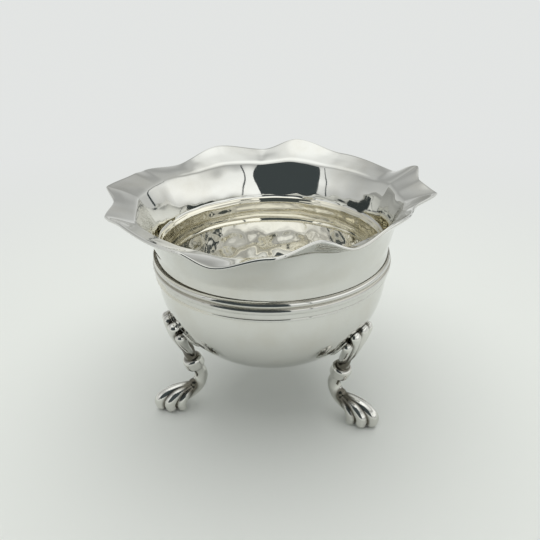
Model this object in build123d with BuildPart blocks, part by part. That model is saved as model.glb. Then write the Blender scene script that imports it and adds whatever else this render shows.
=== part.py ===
"""Open salt cellar: a silver bowl on three cast paw legs, with a ruffled lip.

Millimetres, +Z up. The origin is on the table under the centre of the bowl,
and the rear leg stands on +Y.
"""
from build123d import *
from math import cos, pi, radians, sin
import os

# Body, in sheet silver
BODY_RADIUS = 27.7        # outside of the neck and of the bowl's straight wall
BOWL_UNDERSIDE = 13.9     # lowest point of the bowl above the table
BOWL_DEPTH = 23.5         # rounded part of the bowl, bottom to spring line
BOWL_FULLNESS = 2.19      # 2 is an ellipse, more is squarer
BOWL_SHEET = 0.7
BOWL_SPANS = 10           # spans along the bowl's rounded profile
WALL_HEIGHT = 3.5         # straight wall of the bowl above its spring line
COLLAR_SHEET = 0.6
NECK_HEIGHT = 3.6         # straight neck above the seam
SHOULDER_HEIGHT = 0.8     # slope from the lapped skirt out to the neck
SOLDER_FILM = 0.12        # thickness of each soldered joint
FIT_CLEARANCE = 0.01      # keeps a film clear of the ruffled sheet beside it

# Flare and ruffled lip, measured from the top of the straight neck
CURVE_RISE = 4.5          # first point of the flare
CURVE_REACH = 1.2
BEND_RISE = 8.8           # where the flare turns over into the lip
BEND_REACH = 3.6
BEND_SHARE = 0.25         # how much of the ruffle reaches down to the bend
LIP_RISE = 11.3           # mean edge of the lip
LIP_REACH = 9.3
LIP_STEP = 5              # degrees between the lip's sections
LIP_SEAM = 235            # angle of a calm stretch, where its halves meet
LIP_OVERLAP = 60          # degrees by which each half is lofted past its ends

# Crests and hollows of the ruffle: angle, extra reach, extra lift
RUFFLE = [
    (3, 1.6, -0.4),
    (14, -0.4, -0.5),
    (24, 2.0, 1.4),
    (37, -0.6, -1.7),
    (62, 0.3, -0.1),
    (85, 1.2, 2.2),
    (100, 0.3, -0.8),
    (117, 0.9, 1.2),
    (140, -0.1, -1.9),
    (157, 0.3, -0.5),
    (166, -0.3, -0.2),
    (178, 1.6, 0.3),
    (195, -1.9, -1.2),
    (210, 0.4, 0.1),
    (224, -0.6, 0.6),
    (248, 0.0, 0.4),
    (261, 0.8, -1.6),
    (275, 1.2, 0.8),
    (291, -1.8, 2.2),
    (303, -1.4, -0.2),
    (318, -1.0, 2.0),
    (345, -3.0, -0.2),
]

# Girdle moulding, a drawn wire, measured from its flat back
BEAD_HEIGHT = 2.8
BEAD_PROUD = 0.9
FILLET_HEIGHT = 2.0
FILLET_PROUD = 0.4

# Legs, one casting used three times
LEG_ANGLES = {"front_left": 210, "front_right": 330, "rear": 90}
CUTTER_TURN = 200         # keeps the seam of the bowl's surface off the saddle

# Knee, lying on the bowl: rise above the bowl's underside, stand off the bowl,
# half thickness, half width
KNEE = [
    (14.9, -0.2, 0.9, 1.7),
    (12.5, 0.4, 1.5, 2.5),
    (8.8, 1.6, 1.8, 2.4),
    (5.5, 3.5, 1.6, 2.1),
]
# Shin and foot: inset from the body radius, height, half thickness, half width
SHIN = [
    (6.0, 17.2, 1.5, 1.6),
    (6.6, 14.3, 1.6, 1.6),
    (8.0, 11.5, 1.5, 1.5),
    (8.3, 8.8, 1.6, 1.6),
    (6.6, 5.9, 1.8, 1.8),
    (3.4, 3.4, 2.1, 2.5),
    (-0.6, 1.9, 2.2, 2.9),
]
KNOP_STATION = 1          # shin station that carries the ring knop
KNOP_RADIUS = 1.5         # from the shin's centre line to the knop's own
KNOP_ROUND = 1.0          # radius of the knop's round section

# Flutes on the knee: turn about it, knee station of the rounded top
FLUTES = [(0, 0), (50, 1), (-50, 1), (100, 2), (-100, 2)]
FLUTE_RADII = [0.8, 1.0, 1.0, 0.8, 0.5]

# Toes: sideways place of the tip, reach of the tip outside the body radius
TOES = [(-2.5, 2.0), (-0.85, 3.2), (0.85, 3.2), (2.5, 2.0)]
TOE_TIP_HEIGHT = 1.0
TOE_TIP_RADIUS = 1.3
TOE_ROOT_STATION = 4      # shin station that the toes spring from
TOE_ROOT_RISE = 0.9       # their roots above that station
TOE_ROOT_SPREAD = 0.4     # share of the tips' sideways place at the roots
TOE_ROOT_RADIUS = 0.9

# Heights and radii that follow from these
spring_z = BOWL_UNDERSIDE + BOWL_DEPTH
seam_z = spring_z + WALL_HEIGHT
collar_z = seam_z + SOLDER_FILM
neck_z = seam_z + NECK_HEIGHT
neck_inner = BODY_RADIUS - COLLAR_SHEET
wall_inner = BODY_RADIUS - BOWL_SHEET
skirt_outer = wall_inner - SOLDER_FILM
skirt_inner = skirt_outer - COLLAR_SHEET
wire_back = BODY_RADIUS + SOLDER_FILM
bead_bottom = seam_z - BEAD_HEIGHT / 2
bead_top = seam_z + BEAD_HEIGHT / 2
fillet_bottom = bead_bottom - FILLET_HEIGHT

os.makedirs("parts", exist_ok=True)


def save(piece, name):
    """Label a finished piece and write it."""
    piece.part.label = name
    export_step(piece.part, f"parts/{name}.step")


def bowl_radius(z):
    """Radius of the bowl's outside at height z."""
    share = (spring_z - z) / BOWL_DEPTH
    return BODY_RADIUS * (1 - share**BOWL_FULLNESS) ** (1 / BOWL_FULLNESS)


def bowl_curve(grow):
    """Points of the bowl's rounded profile, moved outward by grow, spring line to centre."""
    power = 2 / BOWL_FULLNESS
    points = []
    for step in range(BOWL_SPANS):
        angle = pi / 2 * step / BOWL_SPANS
        across = (BODY_RADIUS + grow) * cos(angle) ** power
        down = (BOWL_DEPTH + grow) * sin(angle) ** power
        points.append((across, spring_z - down))
    points.append((0, spring_z - BOWL_DEPTH - grow))
    return points


def bowl_cutter(grow):
    """The bowl's outside as a solid up to its spring line, moved outward by grow."""
    with BuildPart() as cutter:
        with BuildSketch(Plane.XZ):
            with BuildLine():
                edge = Spline(bowl_curve(grow), tangents=[(0, -1), (-1, 0)])
                Polyline(edge @ 1, (0, spring_z), edge @ 0)
            make_face()
        revolve(axis=Axis.Z)
    return cutter.part


# Bowl
with BuildPart() as bowl:
    with BuildSketch(Plane.XZ):
        with BuildLine():
            outside = Spline(bowl_curve(0), tangents=[(0, -1), (-1, 0)])
            inside = Spline(bowl_curve(-BOWL_SHEET), tangents=[(0, -1), (-1, 0)])
            Line(outside @ 1, inside @ 1)
            Polyline(outside @ 0, (BODY_RADIUS, seam_z), (wall_inner, seam_z), inside @ 0)
        make_face()
    revolve(axis=Axis.Z)
save(bowl, "bowl")


def ruffle_at(angle):
    """Extra reach and lift of the lip, eased between its crests and hollows."""
    first = RUFFLE[0]
    stops = RUFFLE + [(first[0] + 360, first[1], first[2])]
    if angle < first[0]:
        angle += 360
    for start, end in zip(stops, stops[1:]):
        if angle <= end[0]:
            share = (angle - start[0]) / (end[0] - start[0])
            ease = (1 - cos(pi * share)) / 2
            reach = start[1] + ease * (end[1] - start[1])
            lift = start[2] + ease * (end[2] - start[2])
            return reach, lift


def collar_section(angle):
    """The collar's sheet cut by a plane through the axis at this angle."""
    reach, lift = ruffle_at(angle)
    base = Vector(BODY_RADIUS, neck_z)
    curve = base + Vector(CURVE_REACH, CURVE_RISE)
    bend = base + Vector(BEND_REACH + BEND_SHARE * reach, BEND_RISE + BEND_SHARE * lift)
    edge = base + Vector(LIP_REACH + reach, LIP_RISE + lift)
    lip_way = (edge - bend).normalized()
    bend_way = (edge - curve).normalized()
    curve_way = (bend - base).normalized()
    edge_in = edge + Vector(-lip_way.Y, lip_way.X) * COLLAR_SHEET
    bend_in = bend + Vector(-bend_way.Y, bend_way.X) * COLLAR_SHEET
    curve_in = curve + Vector(-curve_way.Y, curve_way.X) * COLLAR_SHEET
    base_in = base - Vector(COLLAR_SHEET, 0)
    around = Vector(cos(radians(angle)), sin(radians(angle)), 0)
    plane = Plane(origin=(0, 0, 0), x_dir=around, z_dir=around.cross(Vector(0, 0, 1)))
    with BuildSketch(plane) as section:
        with BuildLine():
            Spline(base, curve, bend, edge, tangents=[(0, 1), lip_way])
            Line(edge, edge_in)
            Spline(edge_in, bend_in, curve_in, base_in, tangents=[lip_way * -1, (0, -1)])
            Polyline(
                base_in,
                (neck_inner, collar_z + SHOULDER_HEIGHT),
                (skirt_inner, collar_z),
                (skirt_inner, spring_z),
                (skirt_outer, spring_z),
                (skirt_outer, collar_z),
                (BODY_RADIUS, collar_z),
                base,
            )
        make_face()
    return section.sketch


def collar_half(start):
    """Half of the collar from this angle, lofted past both ends and trimmed there."""
    end = start + 180
    angles = range(start - LIP_OVERLAP, end + LIP_OVERLAP + LIP_STEP, LIP_STEP)
    sections = [collar_section(angle % 360) for angle in angles]
    with BuildPart() as half:
        loft(sections=sections)
        split(bisect_by=Plane.XZ.rotated((0, 0, start)), keep=Keep.BOTTOM)
    return half.part


# Neck collar with its ruffled lip
halves = [collar_half(LIP_SEAM), collar_half(LIP_SEAM - 180)]
with BuildPart() as neck_collar:
    add(halves)
save(neck_collar, "neck_collar")


# Solder in the lap and on the bowl's upper edge
with BuildPart() as collar_solder:
    with BuildSketch(Plane.XZ):
        with BuildLine():
            Polyline(
                (skirt_outer + FIT_CLEARANCE, spring_z),
                (wall_inner, spring_z),
                (wall_inner, seam_z),
                (BODY_RADIUS, seam_z),
                (BODY_RADIUS, collar_z - FIT_CLEARANCE),
                (skirt_outer + FIT_CLEARANCE, collar_z - FIT_CLEARANCE),
                close=True,
            )
        make_face()
    revolve(axis=Axis.Z)
save(collar_solder, "collar_solder")


# Girdle moulding
with BuildPart() as girdle_moulding:
    with BuildSketch(Plane.XZ):
        with BuildLine():
            bead = ThreePointArc(
                (wire_back + FILLET_PROUD, bead_bottom),
                (wire_back + BEAD_PROUD, seam_z),
                (wire_back, bead_top),
            )
            Polyline(
                bead @ 1,
                (wire_back, fillet_bottom),
                (wire_back + FILLET_PROUD, fillet_bottom),
                bead @ 0,
            )
        make_face()
    revolve(axis=Axis.Z)
save(girdle_moulding, "girdle_moulding")


# Solder behind the moulding
with BuildPart() as girdle_solder:
    with BuildSketch(Plane.XY.offset(fillet_bottom)):
        Circle(wire_back)
        Circle(BODY_RADIUS + FIT_CLEARANCE, mode=Mode.SUBTRACT)
    extrude(amount=bead_top - fillet_bottom)
save(girdle_solder, "girdle_solder")


def leg_stations():
    """Centre, direction, half thickness and half width of the leg, knee to foot."""
    rows = []
    for rise, stand, thick, wide in KNEE:
        z = BOWL_UNDERSIDE + rise
        rows.append((Vector(bowl_radius(z) + stand, 0, z), thick, wide))
    for inset, z, thick, wide in SHIN:
        rows.append((Vector(BODY_RADIUS - inset, 0, z), thick, wide))
    stations = []
    for index, (centre, thick, wide) in enumerate(rows):
        before = rows[max(index - 1, 0)][0]
        after = rows[min(index + 1, len(rows) - 1)][0]
        stations.append((centre, (after - before).normalized(), thick, wide))
    return stations


def oval(centre, way, wide, thick):
    """An oval section square to the leg's direction."""
    with BuildSketch(Plane(origin=centre, x_dir=(0, 1, 0), z_dir=way)) as section:
        Ellipse(wide, thick)
    return section.sketch


def flute(stations, turn, top):
    """Sections of one convex flute of the knee, from its rounded top to the shin."""
    sections = []
    for (centre, way, thick, wide), radius in list(zip(stations, FLUTE_RADII))[top:]:
        outward = Vector(-way.Z, 0, way.X)
        place = centre + outward * (thick - radius / 2) * cos(radians(turn))
        place += Vector(0, wide - radius / 2, 0) * sin(radians(turn))
        sections.append(oval(place, way, radius, radius))
    return sections


def toe(root, tip):
    """One round-ended toe, tapering from its tip back to its root."""
    length = (tip - root).length
    along = (tip - root).normalized()
    plane = Plane(origin=root, x_dir=along, z_dir=along.cross(Vector(0, 0, 1)))
    with BuildPart() as rod:
        with BuildSketch(plane):
            with BuildLine():
                side = Line((0, TOE_ROOT_RADIUS), (length, TOE_TIP_RADIUS))
                nose = RadiusArc(side @ 1, (length + TOE_TIP_RADIUS, 0), TOE_TIP_RADIUS)
                Polyline(nose @ 1, (0, 0), side @ 0)
            make_face()
        revolve(axis=Axis(root, along))
    return rod.part


# Leg casting, before it is fitted to the bowl
stations = leg_stations()
knop_place, knop_way = stations[len(KNEE) + KNOP_STATION][:2]
toe_root = stations[len(KNEE) + TOE_ROOT_STATION][0] + Vector(0, 0, TOE_ROOT_RISE)
toes = []
for aside, reach in TOES:
    root = toe_root + Vector(0, aside * TOE_ROOT_SPREAD, 0)
    toes.append(toe(root, Vector(BODY_RADIUS + reach, aside, TOE_TIP_HEIGHT)))
flutes = [flute(stations, turn, top) for turn, top in FLUTES]

with BuildPart() as leg_blank:
    loft(sections=[oval(centre, way, wide, thick) for centre, way, thick, wide in stations])
    for (turn, top), flute_sections in zip(FLUTES, flutes):
        loft(sections=flute_sections)
        with Locations(flute_sections[0].face().center()):
            Sphere(FLUTE_RADII[top])
    with Locations(Plane(origin=knop_place, z_dir=knop_way)):
        Torus(KNOP_RADIUS, KNOP_ROUND)
    add(toes)
    split(bisect_by=Plane.XY)

# Its saddle for the bowl
with BuildPart() as fitted_leg:
    add(leg_blank.part)
    add(bowl_cutter(SOLDER_FILM), rotation=(0, 0, CUTTER_TURN), mode=Mode.SUBTRACT)

# A film over the bowl's outside, and the solder that it leaves in the saddle
with BuildPart() as film:
    with BuildSketch(Plane.XZ):
        with BuildLine():
            over = Spline(bowl_curve(SOLDER_FILM), tangents=[(0, -1), (-1, 0)])
            under = Spline(bowl_curve(0), tangents=[(0, -1), (-1, 0)])
            Line(over @ 0, under @ 0)
            Line(over @ 1, under @ 1)
        make_face()
    revolve(axis=Axis.Z)

with BuildPart() as saddle_solder:
    add(leg_blank.part)
    add(film.part, rotation=(0, 0, CUTTER_TURN), mode=Mode.INTERSECT)

# The three legs and their solder, set round the bowl
for side, angle in LEG_ANGLES.items():
    with BuildPart() as leg:
        add(fitted_leg.part, rotation=(0, 0, angle))
    save(leg, f"{side}_leg")
    with BuildPart() as solder:
        add(saddle_solder.part, rotation=(0, 0, angle))
    save(solder, f"{side}_solder")
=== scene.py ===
"""Polished silver open salt: its dressed pieces, a pale floor and soft light.

Sizes are written in millimetres and turned into metres where a mesh is made.
"""
from math import cos, pi, radians, sin

import bmesh
import bpy
import numpy as np
from mathutils import Matrix, Vector


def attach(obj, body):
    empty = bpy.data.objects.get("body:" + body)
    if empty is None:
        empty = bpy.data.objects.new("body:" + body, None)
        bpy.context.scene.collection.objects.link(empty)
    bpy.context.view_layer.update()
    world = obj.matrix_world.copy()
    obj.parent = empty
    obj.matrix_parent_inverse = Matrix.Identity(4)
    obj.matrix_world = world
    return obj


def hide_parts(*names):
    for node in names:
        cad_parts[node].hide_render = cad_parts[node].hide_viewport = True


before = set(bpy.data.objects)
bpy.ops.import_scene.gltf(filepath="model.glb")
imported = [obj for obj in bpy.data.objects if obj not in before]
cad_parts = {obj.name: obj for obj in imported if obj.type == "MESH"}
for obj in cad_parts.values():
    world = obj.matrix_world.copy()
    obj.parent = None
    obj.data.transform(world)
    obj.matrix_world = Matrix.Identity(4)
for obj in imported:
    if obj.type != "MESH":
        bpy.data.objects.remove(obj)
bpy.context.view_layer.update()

MM = 0.001

# Body, as in the part's source
BODY_RADIUS = 27.7
BOWL_UNDERSIDE = 13.9
BOWL_DEPTH = 23.5
BOWL_FULLNESS = 2.19
BOWL_SHEET = 0.7
WALL_HEIGHT = 3.5
COLLAR_SHEET = 0.6
NECK_HEIGHT = 3.6
SOLDER_FILM = 0.12
SPRING_Z = BOWL_UNDERSIDE + BOWL_DEPTH
SEAM_Z = SPRING_Z + WALL_HEIGHT
COLLAR_Z = SEAM_Z + SOLDER_FILM
NECK_Z = SEAM_Z + NECK_HEIGHT
WIRE_BACK = BODY_RADIUS + SOLDER_FILM
WALL_INNER = BODY_RADIUS - BOWL_SHEET
SKIRT_OUTER = WALL_INNER - SOLDER_FILM
SKIRT_INNER = SKIRT_OUTER - COLLAR_SHEET
# The body as set by hand, a little off the middle of the legs and the rim
BODY_SHIFT = (0.48, 0.06, 0.0)


# Mesh helpers

def link(name, data):
    """A new object for this mesh, lamp or camera, in the scene."""
    made = bpy.data.objects.new(name, data)
    bpy.context.scene.collection.objects.link(made)
    return made


def set_marks(mesh, marks):
    """Give a mesh's points these named numbers."""
    for label, values in marks.items():
        layer = mesh.attributes.new(label, "FLOAT", "POINT")
        layer.data.foreach_set("value", np.asarray(values, np.float32))


def mesh_from(name, points, faces, marks):
    """A smooth mesh from points in millimetres, with these marks on its points."""
    mesh = bpy.data.meshes.new(name)
    mesh.from_pydata((np.asarray(points) * MM).tolist(), [], np.asarray(faces).tolist())
    set_marks(mesh, marks)
    mesh.polygons.foreach_set("use_smooth", np.ones(len(mesh.polygons), bool))
    mesh.update()
    return mesh


def face_outwards(mesh):
    """Turn every face of a closed mesh to point outwards."""
    work = bmesh.new()
    work.from_mesh(mesh)
    bmesh.ops.recalc_face_normals(work, faces=work.faces)
    work.to_mesh(mesh)
    work.free()


# Node helpers

def add_node(tree, kind, links=(), **settings):
    """A node with its settings, and its inputs set to values or joined to sockets."""
    node = tree.nodes.new(kind)
    for key, value in settings.items():
        setattr(node, key, value)
    for key, value in dict(links).items():
        if isinstance(value, bpy.types.NodeSocket):
            tree.links.new(value, node.inputs[key])
        else:
            node.inputs[key].default_value = value
    return node


def reckon(tree, operation, *terms, **settings):
    """The result of one sum on these terms."""
    node = add_node(tree, "ShaderNodeMath", enumerate(terms), operation=operation, **settings)
    return node.outputs["Value"]


def ranged(tree, value, given, wanted=(0.0, 1.0), **settings):
    """A value carried from one range of numbers to another and held at its ends."""
    return add_node(tree, "ShaderNodeMapRange", {
        "Value": value, "From Min": given[0], "From Max": given[1],
        "To Min": wanted[0], "To Max": wanted[1],
    }, **settings).outputs["Result"]


def noise(tree, place, scale, detail, roughness=0.5):
    """Soft noise from nought to one, about a half on the whole."""
    return add_node(tree, "ShaderNodeTexNoise", {
        "Vector": place, "Scale": scale, "Detail": detail, "Roughness": roughness,
    }).outputs["Fac"]


def bare_tree(owner):
    """The emptied node tree of a material or of the world."""
    owner.use_nodes = True
    owner.node_tree.nodes.clear()
    return owner.node_tree


def new_tree(name, inputs):
    """An empty geometry tree with a mesh in, a mesh out and these named inputs."""
    tree = bpy.data.node_groups.new(name, "GeometryNodeTree")
    tree.interface.new_socket("Geometry", in_out="INPUT", socket_type="NodeSocketGeometry")
    for label, kind in inputs:
        tree.interface.new_socket(label, in_out="INPUT", socket_type=kind)
    tree.interface.new_socket("Geometry", in_out="OUTPUT", socket_type="NodeSocketGeometry")
    return tree


def end_tree(tree, shape, finish):
    """End a geometry tree with its shape as one real mesh in its finish."""
    whole = add_node(tree, "GeometryNodeRealizeInstances", {"Geometry": shape})
    coat = add_node(tree, "GeometryNodeSetMaterial", {
        "Geometry": whole.outputs["Geometry"], "Material": finish,
    })
    add_node(tree, "NodeGroupOutput", {"Geometry": coat.outputs["Geometry"]})


def shaped(piece, tree, values):
    """Run a geometry tree on a piece with these input values and keep the plain mesh."""
    modifier = piece.modifiers.new(tree.name, "NODES")
    modifier.node_group = tree
    for socket in tree.interface.items_tree:
        if socket.in_out == "INPUT" and socket.name in values:
            modifier[socket.identifier] = values[socket.name]
    bpy.context.view_layer.update()
    graph = bpy.context.evaluated_depsgraph_get()
    made = bpy.data.meshes.new_from_object(piece.evaluated_get(graph))
    piece.modifiers.remove(modifier)
    piece.data = made
    face_outwards(made)
    return piece


# Finishes

# Painted warm reflection, for the warm tint that light takes from bouncing about in the silver:
# half of it inside the bowl, all of it inside the neck
HALF_PAINTED_WARMTH = 0.5
FULL_PAINTED_WARMTH = 1.0
# Colours of the painted warm reflection: warm at half of it, tan at all of it
WARM = (0.82, 0.81, 0.765)
TAN = (0.82, 0.79, 0.68)
# Marks in the polish, by their number to the metre
CLOUDS = 90.0
SPECKS = 260.0
WAVES = 170.0
HAIRS = (900.0, 900.0, 9000.0)
# Hair scratches: lean in radians, depth and how much they show
HAIR_LEAN = 0.3
HAIR_DEPTH = 0.002
HAIR_STRENGTH = 0.25
HAIR_RANGE = (0.3, 0.8)
# Part of the noise that shows as a dull film, and the most that it dulls
CLOUD_RANGE = (0.45, 0.8)
FILM_RANGE = (0.0, 0.35)
# Size of a speck, from its middle to its edge, and the share of places without one
SPECK_RANGE = (0.02, 0.06)
SPECK_RARITY = 0.96
DIRT_ROUGHNESS = 0.22


def mixed(tree, share, first, second):
    """The colour between two colours, each given as numbers or as a socket."""
    node = add_node(tree, "ShaderNodeMix", {"Factor": share}, data_type="RGBA")
    sockets = [socket for socket in node.inputs if socket.type == "RGBA"]
    for socket, colour in zip(sockets, (first, second)):
        if isinstance(colour, bpy.types.NodeSocket):
            tree.links.new(colour, socket)
        else:
            socket.default_value = (*colour, 1.0)
    return next(socket for socket in node.outputs if socket.type == "RGBA")


def silver(name, bright, dull, gloss, satin, ripple):
    """Hand-polished silver: uneven shine, scratches, specks, dull hollows, and a painted warm
    reflection inside.

    Gloss and satin are its roughness between the scratches and in them.
    """
    finish = bpy.data.materials.new(name)
    tree = bare_tree(finish)
    place = add_node(tree, "ShaderNodeTexCoord").outputs["Object"]
    hollow = add_node(tree, "ShaderNodeAttribute", attribute_name="hollow").outputs["Fac"]
    # Share of the painted warm reflection, from the point's mark
    painted_warmth = add_node(tree, "ShaderNodeAttribute", attribute_name="painted_warmth").outputs["Fac"]

    # Dirt: a cloudy film, the hollows and a few specks
    cloud = noise(tree, place, CLOUDS, 4.0, roughness=0.6)
    film = ranged(tree, cloud, CLOUD_RANGE, FILM_RANGE)
    speck = add_node(tree, "ShaderNodeTexVoronoi", {"Vector": place, "Scale": SPECKS}).outputs
    pit = ranged(tree, speck["Distance"], SPECK_RANGE, (1.0, 0.0))
    cell = add_node(tree, "ShaderNodeSeparateColor", {"Color": speck["Color"]}).outputs["Red"]
    pits = reckon(tree, "MULTIPLY", pit, reckon(tree, "GREATER_THAN", cell, SPECK_RARITY))
    dirt = reckon(tree, "ADD", film, hollow, use_clamp=True)
    dirt = reckon(tree, "ADD", dirt, pits, use_clamp=True)

    # Painted warm reflection: the mark tints the metal warm, then tan
    metal = bright
    for start, tint in ((0.0, WARM), (HALF_PAINTED_WARMTH, TAN)):
        share = ranged(tree, painted_warmth, (start, start + HALF_PAINTED_WARMTH))
        metal = mixed(tree, share, metal, tint)
    colour = mixed(tree, dirt, metal, dull)

    stretched = add_node(tree, "ShaderNodeMapping", {
        "Vector": place, "Rotation": (0.0, 0.0, HAIR_LEAN), "Scale": HAIRS,
    }).outputs["Vector"]
    hairs = noise(tree, stretched, 1.0, 2.0)
    rough = ranged(tree, hairs, HAIR_RANGE, (gloss, satin))
    rough = reckon(tree, "MULTIPLY_ADD", dirt, DIRT_ROUGHNESS, rough, use_clamp=True)

    dents = add_node(tree, "ShaderNodeBump", {
        "Strength": 1.0, "Distance": ripple * MM, "Height": noise(tree, place, WAVES, 1.0),
    }).outputs["Normal"]
    lines = add_node(tree, "ShaderNodeBump", {
        "Strength": HAIR_STRENGTH, "Distance": HAIR_DEPTH * MM, "Height": hairs,
        "Normal": dents,
    }).outputs["Normal"]
    shader = add_node(tree, "ShaderNodeBsdfPrincipled", {
        "Base Color": colour, "Metallic": 1.0, "Roughness": rough, "Normal": lines,
    })
    add_node(tree, "ShaderNodeOutputMaterial", {"Surface": shader.outputs["BSDF"]})
    return finish


BRIGHT = (0.705, 0.705, 0.675)
sheet_silver = silver("sheet_silver", BRIGHT, (0.54, 0.50, 0.41), 0.03, 0.07, 0.02)
drawn_silver = silver("drawn_silver", BRIGHT, (0.40, 0.38, 0.32), 0.03, 0.07, 0.008)
cast_silver = silver(
    "cast_silver", (0.78, 0.775, 0.735), (0.15, 0.14, 0.115), 0.02, 0.05, 0.01)
hard_solder = silver(
    "hard_solder", (0.72, 0.70, 0.63), (0.30, 0.28, 0.23), 0.22, 0.34, 0.01)


# Turned pieces: a profile carried round the axis

TURNING_RADIUS = 10.0
WELD = 0.001              # points nearer than this become one
# Ripple of the bowl: height, number to the metre, share of it that shows outside, and how
# far below the spring line the inside is fully rippled
BOWL_RIPPLE = (0.9, 172.0)
OUTSIDE_RIPPLE = 0.06
RIPPLE_FADE = 4.0
NO_RIPPLE = (0.0, 100.0)
BOWL_STEPS_OUTSIDE = 60
BOWL_STEPS_INSIDE = 90
BOWL_STEPS_ROUND = 320
# Girdle wire: stand from its back and height above its foot
GIRDLE_DROP = 3.4         # from the seam down to its foot
GIRDLE_FOOT = [
    (0.0, 0.0), (0.12, 0.02), (0.22, 0.12), (0.24, 0.26), (0.24, 0.44), (0.20, 0.56),
]
GIRDLE_LINE = [(0.14, 0.64)]
GIRDLE_FILLET = [
    (0.20, 0.71), (0.36, 0.80), (0.40, 0.92), (0.40, 1.40), (0.40, 1.84), (0.44, 1.96),
]
GIRDLE_GROOVE = [(0.40, 3.33)]
GIRDLE_BACK = [(0.0, 4.7), (0.0, 0.0)]
GIRDLE_STEPS_ROUND = 256
# Its beads: centre, radius, first and last angle
LOWER_BEAD = ((-0.19, 2.53), 1.0, -30, 50)
UPPER_BEAD = ((-0.45, 3.68), 1.0, -15, 62)
BEAD_STEPS = 12
BEAD_FOOT = 3             # points of a bead that lie in the groove under it
BEAD_TOP = 4              # points of a bead that lie in the groove over it
# How dull the girdle's hollows are
FOOT_DULL = 0.8
CUT_DULL = 0.9
SIDE_DULL = 0.7


def turned_tree():
    """Carries an edge profile round the vertical axis and adds a hand-made ripple."""
    tree = new_tree("turned", [
        ("Steps round", "NodeSocketInt"),
        ("Turning radius", "NodeSocketFloat"),
        ("Ripple height", "NodeSocketFloat"),
        ("Ripples per metre", "NodeSocketFloat"),
        ("Finish", "NodeSocketMaterial"),
    ])
    given = add_node(tree, "NodeGroupInput").outputs
    profile = add_node(tree, "GeometryNodeMeshToCurve", {"Mesh": given["Geometry"]})
    path = add_node(tree, "GeometryNodeCurvePrimitiveCircle", {
        "Resolution": given["Steps round"], "Radius": given["Turning radius"],
    })
    sweep = add_node(tree, "GeometryNodeCurveToMesh", {
        "Curve": path.outputs["Curve"], "Profile Curve": profile.outputs["Curve"],
    })
    closed = add_node(tree, "GeometryNodeMergeByDistance", {
        "Geometry": sweep.outputs["Mesh"], "Distance": WELD * MM,
    })
    where = add_node(tree, "GeometryNodeInputPosition").outputs["Position"]
    level = reckon(tree, "SUBTRACT", noise(tree, where, given["Ripples per metre"], 1.0), 0.5)
    mask = add_node(tree, "GeometryNodeInputNamedAttribute", {
        "Name": "rippled",
    }, data_type="FLOAT").outputs["Attribute"]
    amount = reckon(tree, "MULTIPLY", level, mask)
    amount = reckon(tree, "MULTIPLY", amount, given["Ripple height"])
    normal = add_node(tree, "GeometryNodeInputNormal").outputs["Normal"]
    push = add_node(tree, "ShaderNodeVectorMath", {
        0: normal, "Scale": amount,
    }, operation="SCALE")
    moved = add_node(tree, "GeometryNodeSetPosition", {
        "Geometry": closed.outputs["Geometry"], "Offset": push.outputs["Vector"],
    })
    smooth = add_node(tree, "GeometryNodeSetShadeSmooth", {
        "Geometry": moved.outputs["Geometry"],
    })
    end_tree(tree, smooth.outputs["Geometry"], given["Finish"])
    return tree


turned = turned_tree()


def turn(name, profile, marks, steps, ripple, finish):
    """A turned piece from its profile of (radius, height) points.

    The sweep carries the profile's second axis downwards, so heights go in negative.
    """
    mesh = bpy.data.meshes.new(name)
    points = [((r - TURNING_RADIUS) * MM, -z * MM, 0.0) for r, z in profile]
    mesh.from_pydata(points, [(i, i + 1) for i in range(len(points) - 1)], [])
    set_marks(mesh, marks)
    height, per_metre = ripple
    piece = shaped(link(name, mesh), turned, {
        "Steps round": steps,
        "Turning radius": TURNING_RADIUS * MM,
        "Ripple height": height * MM,
        "Ripples per metre": per_metre,
        "Finish": finish,
    })
    piece.data.transform(Matrix.Translation(Vector(BODY_SHIFT) * MM))
    return piece


def bowl_curve(grow, steps):
    """Points of the bowl's rounded profile, moved outward by grow, centre to spring line."""
    power = 2 / BOWL_FULLNESS
    rows = []
    for step in range(steps + 1):
        angle = pi / 2 * (1 - step / steps)
        across = (BODY_RADIUS + grow) * max(cos(angle), 0) ** power
        down = (BOWL_DEPTH + grow) * sin(angle) ** power
        rows.append((across, SPRING_Z - down))
    rows[0] = (0.0, SPRING_Z - BOWL_DEPTH - grow)
    return rows


def make_bowl():
    """The raised bowl, smooth outside and rippled inside."""
    outside = bowl_curve(0, BOWL_STEPS_OUTSIDE)
    top = [(BODY_RADIUS, SEAM_Z), (WALL_INNER, SEAM_Z)]
    inside = bowl_curve(-BOWL_SHEET, BOWL_STEPS_INSIDE)[::-1]
    depths = [(SPRING_Z - z) / RIPPLE_FADE for _, z in inside]
    marks = {
        "rippled": [OUTSIDE_RIPPLE] * len(outside) + [0.0] * len(top)
        + [min(1.0, max(0.0, depth)) for depth in depths],
        # The inside takes half of the painted warm reflection
        "painted_warmth": [0.0] * len(outside + top) + [HALF_PAINTED_WARMTH] * len(inside),
    }
    profile = outside + top + inside
    return turn("silver_bowl", profile, marks, BOWL_STEPS_ROUND, BOWL_RIPPLE, sheet_silver)


def arc(centre, radius, start, end):
    """Points on an arc, angles in degrees."""
    angles = [radians(start + (end - start) * i / BEAD_STEPS) for i in range(BEAD_STEPS + 1)]
    return [(centre[0] + radius * cos(a), centre[1] + radius * sin(a)) for a in angles]


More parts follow.
